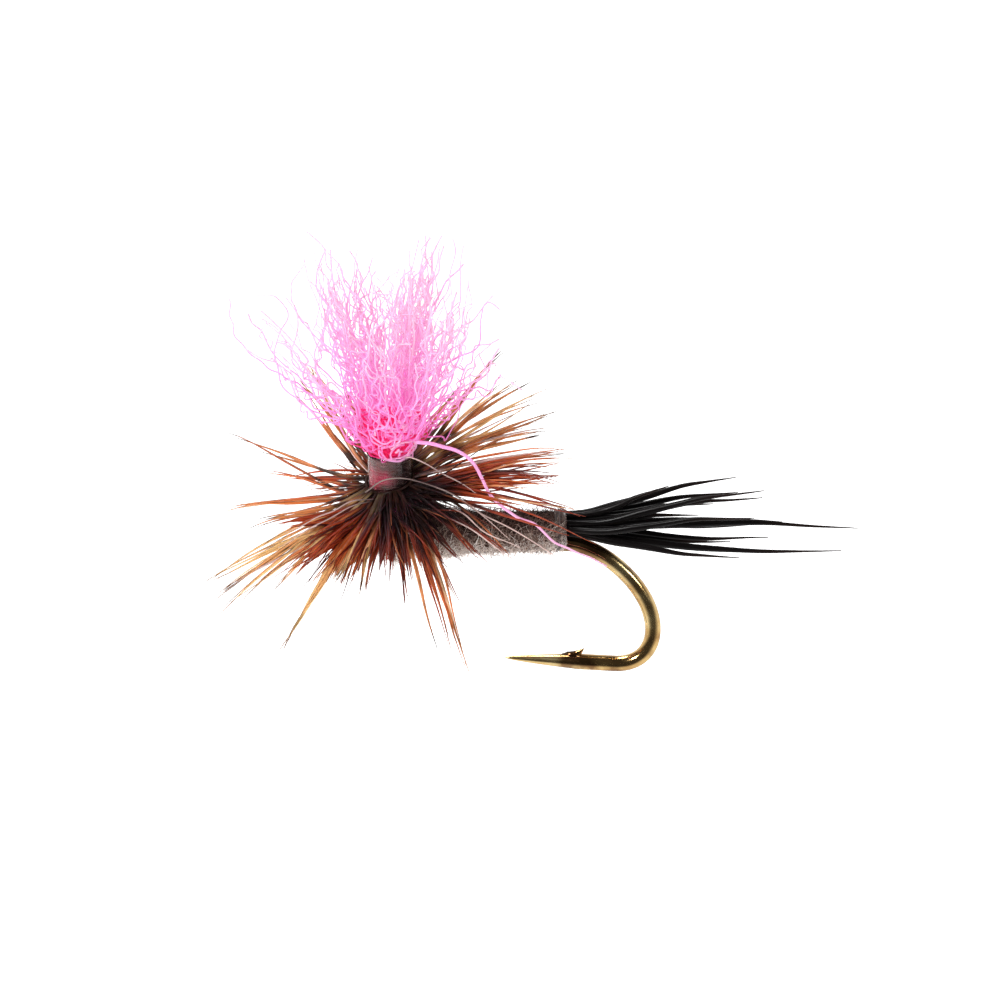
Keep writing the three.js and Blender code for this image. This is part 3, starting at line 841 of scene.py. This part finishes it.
def make_lock(number, node, paint):
    """Crinkled filaments that stream out of the knot along one lock of the frame."""
    bends, steps = 6, 72
    line = centreline(node, 2, bends)
    shape = Shape()
    count = FILAMENTS[number - 1]
    foot = np.array([POST_X, 0, WRAPS_TOP_Z])
    out = unit((line[0] - foot) * [1, 1, 0])
    share = np.linspace(0, 1, bends)[None, :, None]
    spread = rng.normal(0, 1, (count, 1, 3)) * (0.12 + 0.14 * share) * [1, 1, 0.7]
    lock = line[None] + spread
    lock = lock[:, :1] + (lock - lock[:, :1]) * (0.99 - 0.58 * rng.beta(1, 2.1, (count, 1, 1)))
    start = foot + out * 0.12 + rng.normal(0, 0.08, (count, 1, 3)) * [1, 1, 0.3]
    knot = 0.5 * (start + lock[:, :1]) + out * 0.05 + rng.normal(0, 0.1, (count, 1, 3))
    grow = np.linspace(0, 1, steps)[None]
    paths = through(np.concatenate([start, knot, lock], axis=1), steps)
    paths = kinked(paths, 7, 0.04 + 0.16 * grow)
    paths = kinked(paths, 22, 0.045 + 0.015 * grow)
    thick = rng.uniform(0.015, 0.025, (count, 1, 1))
    shape.tubes(paths, thick, 4, shade=rng.random(count), along=(0.02, 0.95))
    shape.piece(f"yarn_stream_{number:02d}", paint, node)


# Longer filaments that stand off to both sides of the rest, each by the places it passes.
FLYAWAYS = [
    [(0.2, -0.3, 3.4), (-0.8, -0.4, 3.6), (-1.5, -0.4, 4.3), (-1.7, -0.3, 4.9), (-1.45, -0.2, 5.8),
     (-1.65, -0.1, 6.3), (-2.15, 0, 6.35)],
    [(-0.3, -0.2, 3.5), (-1.4, -0.2, 4.35), (-2.2, -0.2, 4.9), (-2.6, -0.1, 5.35), (-2.7, 0, 6.2)],
    [(0.5, 0, 3.6), (-0.2, 0.1, 4.6), (-1.0, 0.2, 5.5), (-1.35, 0.3, 6.3), (-1.0, 0.3, 6.9)],
    [(1.4, 0, 3.9), (2.2, 0.2, 4.6), (2.9, 0.3, 5.0), (3.1, 0.3, 5.9), (3.45, 0.3, 5.85)],
    [(1.5, 0, 3.3), (2.3, 0, 3.9), (2.9, 0.1, 4.1), (3.2, 0.2, 3.9), (3.5, 0.3, 4.25)],
]


def make_flyaways(paint):
    shape = Shape()
    steps = 90
    for places in FLYAWAYS:
        path = waved(waved(through(np.array([places]), steps), 1.7, 0.05), 0.6, 0.02)
        shape.tubes(path, taper(steps, 0.024, 0.017), 5, shade=rng.random(1), along=(0.4, 0.85))
    shape.piece("yarn_flyaways", paint)


def make_stray(paint):
    """The filament that hangs down over the near side of the body."""
    shape = Shape()
    steps = 120
    line = centreline("stray_yarn_filament", 0, 14)
    path = waved(through(line[None], steps), 0.8, 0.008)
    shape.tubes(path, taper(steps, 0.048, 0.02), 8, shade=0.6, along=(0.5, 0.8))
    shape.piece("stray_filament", paint, "stray_yarn_filament")


def make_yarn():
    paint = yarn_paint("post_yarn")
    make_yarn_core(paint)
    for number in range(1, len(FILAMENTS) + 1):
        make_lock(number, f"yarn_lock_{number:02d}", paint)
    make_flyaways(paint)
    make_stray(paint)


# ---------------------------------------------------------------- the hackle
HACKLE_Z = 1.37
HACKLE_PITCH = 0.2
HACKLE_TURNS = 2.6
HACKLE_START = 0.4
COIL_TILT = math.tan(math.radians(14))
# How fast a barb rises as it leaves the quill, towards +X and towards +Y.
RISE_X = 0.36
RISE_Y = 0.42
BARB_STEPS = 20

# Barbs stick together in blades: x, y and z of each one's tip, its number of barbs, and how golden they are.
BROWN_BLADES = [
    (-2.9, -0.3, 1.2, 4, 0.6), (-1.5, 2.1, 1.1, 3, 0.5), (-0.7, 1.8, 1.1, 4, 0.45),
    (-1.9, 1.2, 1.6, 3, 0.55), (-1.4, -2.0, 1.4, 5, 0.3), (-1.0, -2.4, 1.2, 6, 0.3),
    (-0.8, -2.7, 0.9, 6, 0.3), (-1.7, -1.6, 1.3, 5, 0.3), (-0.5, -2.9, 0.7, 5, 0.4),
    (-2.0, -2.2, 0.2, 4, 0.7), (0.2, -2.8, 0.6, 5, 0.25), (-1.2, -2.6, 0.5, 5, 0.5),
    (0.7, -2.7, 0.6, 5, 0.1), (1.0, -2.8, 0.5, 4, 0.1), (1.3, -3.0, -0.1, 4, 0.25),
    (1.4, -2.75, 0.4, 5, 0.1), (1.7, -2.6, 0.55, 6, 0.15), (2.0, -2.7, 0.3, 5, 0.2),
    (2.7, -2.7, -1.8, 5, 0.55), (2.3, -2.7, -1.2, 3, 0.4), (2.5, -2.8, -0.1, 3, 0.3),
    (2.2, -2.4, 0.6, 5, 0.1), (2.55, -2.2, 0.65, 5, 0.0), (2.95, -2.2, 0.8, 5, 0.2),
    (3.1, -2.1, 0.65, 3, 0.1), (3.6, -2.05, 0.8, 4, 0.2), (3.9, -1.8, 1.9, 6, 0.3),
    (4.1, -1.35, 2.15, 7, 0.35), (5.3, -1.5, 1.5, 2, 0.35), (5.2, -1.4, 1.6, 3, 0.3),
    (5.5, -1.8, 1.0, 2, 0.3), (4.7, -1.25, 2.2, 6, 0.35), (4.8, -1.0, 2.3, 8, 0.4),
    (5.0, -0.6, 2.5, 7, 0.45), (4.9, 0.3, 2.45, 5, 0.5), (4.2, -0.9, 2.7, 5, 0.45), (2.6, 3.3, 3.0, 4, 0.6),
    (0.7, 3.9, 2.9, 4, 0.5), (-1.0, 3.3, 3.5, 5, 0.6), (-0.2, 2.9, 2.3, 4, 0.6), (0.1, 2.9, 1.9, 4, 0.3),
    (0.4, 3.1, 2.3, 4, 0.3), (-0.2, -2.8, 0.3, 6, 0.5), (0.4, -2.8, 0.2, 5, 0.4), (-0.8, -2.6, 0.3, 5, 0.6),
    (-1.4, -2.4, 0.5, 5, 0.55), (0.0, -2.9, 0.8, 6, 0.3), (0.9, -2.6, 0.8, 6, 0.1),
    (-0.1, -2.0, 1.0, 7, 0.35), (-0.6, -1.7, 1.15, 7, 0.35), (0.5, -2.2, 0.7, 6, 0.2),
    (-0.35, -2.3, 0.25, 6, 0.6), (0.05, -2.2, 0.2, 5, 0.5), (1.8, -1.6, 1.2, 8, 0.0),
    (2.4, -1.4, 1.3, 8, 0.05), (1.2, -1.8, 1.0, 8, 0.0), (-0.5, -2.4, 0.2, 7, 0.55),
    (-0.3, -2.1, 0.3, 6, 0.5),
]
GRIZZLY_BLADES = [
    (-2.9, 2.0, 2.2, 2, 0.3), (-2.1, 2.1, 1.8, 2, 0.4), (-2.0, -1.4, 1.35, 3, 0.5),
    (-2.3, -1.2, 1.05, 3, 0.4), (-1.95, -1.9, 0.9, 3, 0.6), (-3.35, -1.6, -0.1, 5, 1.0),
    (-3.0, -1.9, -0.3, 6, 0.9), (-2.9, -2.0, -0.6, 4, 1.0), (-1.5, -2.9, -1.2, 5, 1.0),
    (0.2, -2.7, 0.1, 4, 0.7), (-0.3, -2.9, 0.4, 4, 0.8), (-1.7, -2.6, 0.1, 3, 0.9),
    (2.0, -3.2, -1.1, 1, 0.5), (4.9, -0.3, 2.6, 4, 0.2), (4.6, 1.3, 2.5, 4, 0.6), (4.5, 1.5, 2.5, 2, 0.65),
    (4.35, 1.6, 2.7, 3, 0.7), (4.7, 1.6, 2.9, 4, 0.55), (4.5, 1.6, 3.4, 3, 0.7), (4.1, 2.5, 3.3, 2, 0.65),
    (3.5, 2.4, 3.3, 2, 0.6), (3.5, 2.3, 4.2, 4, 0.5), (1.6, 3.8, 3.1, 4, 0.4), (-0.2, 3.6, 2.9, 4, 0.2),
    (-1.3, 3.2, 3.2, 5, 0.15), (-1.3, 3.1, 2.8, 3, 0.2), (4.3, 1.8, 3.1, 3, 0.7), (3.9, 2.2, 3.5, 3, 0.65),
]
# Loose, pale strands that lie across the front, each by the places it passes.
LOOSE_STRANDS = [
    [(0.35, -0.48, 1.72), (0.8, -0.66, 2.05), (1.5, -0.85, 2.13), (2.31, -1.3, 1.96), (3.18, -1.5, 1.4),
     (3.66, -1.6, 0.97)],
    [(1.25, -0.35, 2.5), (1.5, -0.5, 2.5), (2.5, -1.0, 2.14), (3.1, -1.25, 1.8)],
    [(0.6, -0.55, 1.6), (0.0, -1.1, 1.66), (-0.75, -1.8, 1.55), (-1.44, -2.4, 1.4)],
    [(0.62, -0.5, 1.5), (-0.1, -1.2, 1.55), (-0.9, -2.0, 1.35), (-1.6, -2.5, 1.1)],
    [(0.45, 0.1, 1.9), (0.2, 0.3, 2.15), (0.0, 0.5, 2.4), (-0.15, 0.7, 2.6)],
    [(1.9, -1.0, 1.7), (2.6, -1.7, 1.6), (3.2, -2.3, 1.35), (3.9, -2.6, 1.1)],
    [(2.0, -1.2, 1.5), (2.7, -2.0, 1.4), (3.3, -2.4, 1.1), (3.75, -2.6, 0.85)],
    [(1.6, -0.2, 1.6), (2.3, -0.9, 1.75), (3.2, -1.2, 1.35), (4.2, -1.45, 0.85), (4.9, -1.6, 0.4)],
]


def quill_at(angle, height):
    """A place on the quill as it winds round the post. The coil is tilted, so it is higher at the back."""
    reach = WRAPS_R + 0.07
    x, y = reach * np.cos(angle), reach * np.sin(angle)
    return np.stack([POST_X + x, y, HACKLE_Z + height + COIL_TILT * (x + y)], axis=-1)


def quill_height(angle, lowest):
    """How high the quill is where it passes an angle, counted on through its turns."""
    return lowest + HACKLE_PITCH * (HACKLE_TURNS - (angle - HACKLE_START) / TURN)


def turn_of(angle, count):
    """The same directions, each put on one of the quill's turns at random."""
    angle = (angle - HACKLE_START) % TURN + HACKLE_START
    spare = HACKLE_TURNS - (angle - HACKLE_START) / TURN
    return angle + TURN * np.floor(rng.random(count) * np.ceil(spare - 1e-6))


def blades(places, lowest, pale):
    """Barbs for the listed blades: their roots, their tips, and how golden each is. pale is the share
    that have no colour."""
    roots, tips, shades = [], [], []
    for x, y, z, count, golden in places:
        tip = np.array([x, y, z])
        out = math.atan2(y, x - POST_X)
        angle = turn_of(out + rng.normal(0, 0.1, count), count)
        roots.append(quill_at(angle, quill_height(angle, lowest)))
        back = np.append(-0.02, rng.gamma(1.2, 0.045, count - 1))[:, None]
        spread = rng.normal(0, 0.027, (count, 3))
        tips.append(tip + (roots[-1] - tip) * back + spread)
        shade = np.clip(rng.normal(golden, 0.17, count), 0, 0.95)
        shades.append(np.where(rng.random(count) < pale, 1.0, shade))
    return np.concatenate(roots), np.concatenate(tips), np.concatenate(shades)


def undergrowth(count, lowest):
    """Roots and tips of barbs that fill the fan near the quill. Half are on the near side, and longer."""
    near = rng.random(count) < 0.5
    angle = np.where(near, rng.uniform(1.05, 1.9, count) * math.pi, rng.uniform(0, TURN, count))
    angle = turn_of(angle, count)
    root = quill_at(angle, quill_height(angle, lowest))
    across = angle + rng.normal(0, 0.22, count)
    rise = RISE_X * np.cos(across) + RISE_Y * np.sin(across) + rng.normal(0, 0.2, count)
    direction = unit(np.stack([np.cos(across), np.sin(across), rise], axis=-1))
    reach = np.where(near, rng.uniform(1.2, 2.9, count), rng.uniform(0.7, 1.7, count))
    return root, root + direction * reach[:, None]


def barb_paths(root, tip):
    """Each barb leaves the quill straight out, then bends over to its tip."""
    reach = np.linalg.norm(tip - root, axis=1, keepdims=True)
    out = unit((root - [POST_X, 0, 0]) * [1, 1, 0])
    out[:, 2] = RISE_X * out[:, 0] + RISE_Y * out[:, 1]
    leaving = root + 0.25 * reach * out
    middle = 0.35 * root + 0.65 * tip
    middle[:, 2] += rng.normal(0.04, 0.04, len(root)) * reach[:, 0]
    middle[:, :2] += rng.normal(0, 0.05, (len(root), 2))
    paths = bezier(np.stack([root, leaving, middle, tip], axis=1), BARB_STEPS)
    return waved(paths, 2.6, 0.025 * np.linspace(0, 1, BARB_STEPS)[None])


def add_quill(shape, lowest):
    steps = 120
    angle = np.linspace(HACKLE_START, HACKLE_START + HACKLE_TURNS * TURN, steps)
    quill = quill_at(angle, quill_height(angle, lowest))[None]
    shape.tubes(quill, taper(steps, QUILL_R, 0.6 * QUILL_R), 8, along=(0.02, 0.1))


def add_blades(shape, lowest, places, pale):
    root, tip, shade = blades(places, lowest, pale)
    thick = rng.uniform(0.033, 0.053, (len(root), 1, 1))
    radii = thick * taper(BARB_STEPS, 1, 0.14, 0.58, 0.9)
    shape.tubes(barb_paths(root, tip), radii, 6, 0.7, shade=shade)


def add_undergrowth(shape, lowest, count):
    root, tip = undergrowth(count, lowest)
    thick = rng.uniform(0.024, 0.04, (count, 1, 1))
    paths = barb_paths(root, tip)
    shade = 0.3 * rng.random(count)
    shape.tubes(paths, thick * taper(BARB_STEPS, 1, 0.15, 0.3), 6, 0.7, shade=shade, along=(0, 0.75))


def add_loose_strands(shape):
    steps = 40
    for places in LOOSE_STRANDS:
        path = waved(through(np.array([places]), steps), 1.6, 0.02)
        shape.tubes(path, taper(steps, 0.017, 0.006, 0.6), 5, shade=1.0, along=(0.55, 0.6))


def make_brown_feather():
    shape = Shape()
    lowest = 0.0
    add_quill(shape, lowest)
    add_blades(shape, lowest, BROWN_BLADES, 0.0)
    add_undergrowth(shape, lowest, 150)
    shape.piece("brown_feather", brown_paint(), "brown_hackle")


def make_grizzly_feather():
    """The second feather, wound between the turns of the first."""
    shape = Shape()
    lowest = 0.5 * HACKLE_PITCH
    add_quill(shape, lowest)
    add_blades(shape, lowest, GRIZZLY_BLADES, 0.1)
    add_undergrowth(shape, lowest, 50)
    add_loose_strands(shape)
    shape.piece("grizzly_feather", grizzly_paint(), "grizzly_hackle")


# ---------------------------------------------------------------- camera, floor and light
def aim(thing, place, target):
    thing.location = place
    thing.rotation_euler = (Vector(target) - Vector(place)).to_track_quat("-Z", "Y").to_euler()
    bpy.context.collection.objects.link(thing)


def make_camera():
    """A long lens that looks along +Y and 20 degrees down, at a view 22.9 mm wide."""
    elevation = math.radians(20)
    data = bpy.data.cameras.new("camera")
    data.lens, data.sensor_width = 400, 36
    data.clip_start, data.clip_end = 0.01, 20
    camera = bpy.data.objects.new("camera", data)
    target = Vector((3.4325, 0, 1.339)) * MM
    back = Vector((0, -math.cos(elevation), math.sin(elevation)))
    aim(camera, target + back * 0.2543, target)
    bpy.context.scene.camera = camera


def area_light(name, place, size, power, colour=(1, 1, 1)):
    data = bpy.data.lights.new(name, "AREA")
    data.size, data.energy, data.color = size, power, colour
    aim(bpy.data.objects.new(name, data), place, (0.003, 0, 0.001))


def make_world():
    """A white backdrop low down behind the fly, that fades to near black overhead and on the near side."""
    world = bpy.data.worlds.new("tent")
    world.use_nodes = True
    tree = world.node_tree
    direction = tree.nodes.new("ShaderNodeTexCoord").outputs["Generated"]
    split = tree.nodes.new("ShaderNodeSeparateXYZ")
    lower = tree.nodes.new("ShaderNodeMath")
    lower.operation = "MULTIPLY_ADD"
    lower.inputs[1].default_value = -1.1
    shade = tree.nodes.new("ShaderNodeMapRange")
    for socket, value in zip(shade.inputs[1:5], (-0.45, 0.25, 0.05, 1.0)):
        socket.default_value = value
    tree.links.new(direction, split.inputs[0])
    tree.links.new(split.outputs["Z"], lower.inputs[0])
    tree.links.new(split.outputs["Y"], lower.inputs[2])
    tree.links.new(lower.outputs[0], shade.inputs[0])
    tree.links.new(shade.outputs[0], tree.nodes["Background"].inputs["Strength"])
    tree.nodes["Background"].inputs["Color"].default_value = (1, 1, 1, 1)
    bpy.context.scene.world = world


def make_floor():
    """A pale sheet well below the fly, so that its shadow is only a soft tint. The fly mirrors the backdrop
    and not the sheet."""
    half, z = 1.2, cad_box[0][2] - 14 * MM
    corners = [(-half, -half, z), (half, -half, z), (half, half, z), (-half, half, z)]
    mesh = bpy.data.meshes.new("floor")
    mesh.from_pydata(corners, [], [(0, 1, 2, 3)])
    floor = bpy.data.objects.new("floor", mesh)
    bpy.context.collection.objects.link(floor)
    paint = Paint("floor_paper")
    grain = paint.noise(300, 3)
    colour = paint.ramp(grain, [(0.3, (0.88, 0.88, 0.88)), (0.7, (0.92, 0.92, 0.92))])
    mesh.materials.append(paint.finish(colour, 0.9, grain, 0.1, 0.05))
    paint.glow(colour, 0.75)
    floor.visible_glossy = False


def make_studio():
    make_camera()
    make_world()
    make_floor()
    area_light("top_box", (-0.05, 0.08, 0.3), 0.1, 0.6)
    area_light("front_box", (-0.16, -0.22, 0.18), 0.07, 0.75)
    area_light("side_box", (0.24, -0.12, 0.1), 0.05, 0.12)
    bpy.context.scene.view_settings.view_transform = "Standard"


make_studio()
make_hook()
make_threads()
make_tail()
make_body()
make_yarn()
make_brown_feather()
make_grizzly_feather()
make_cement()
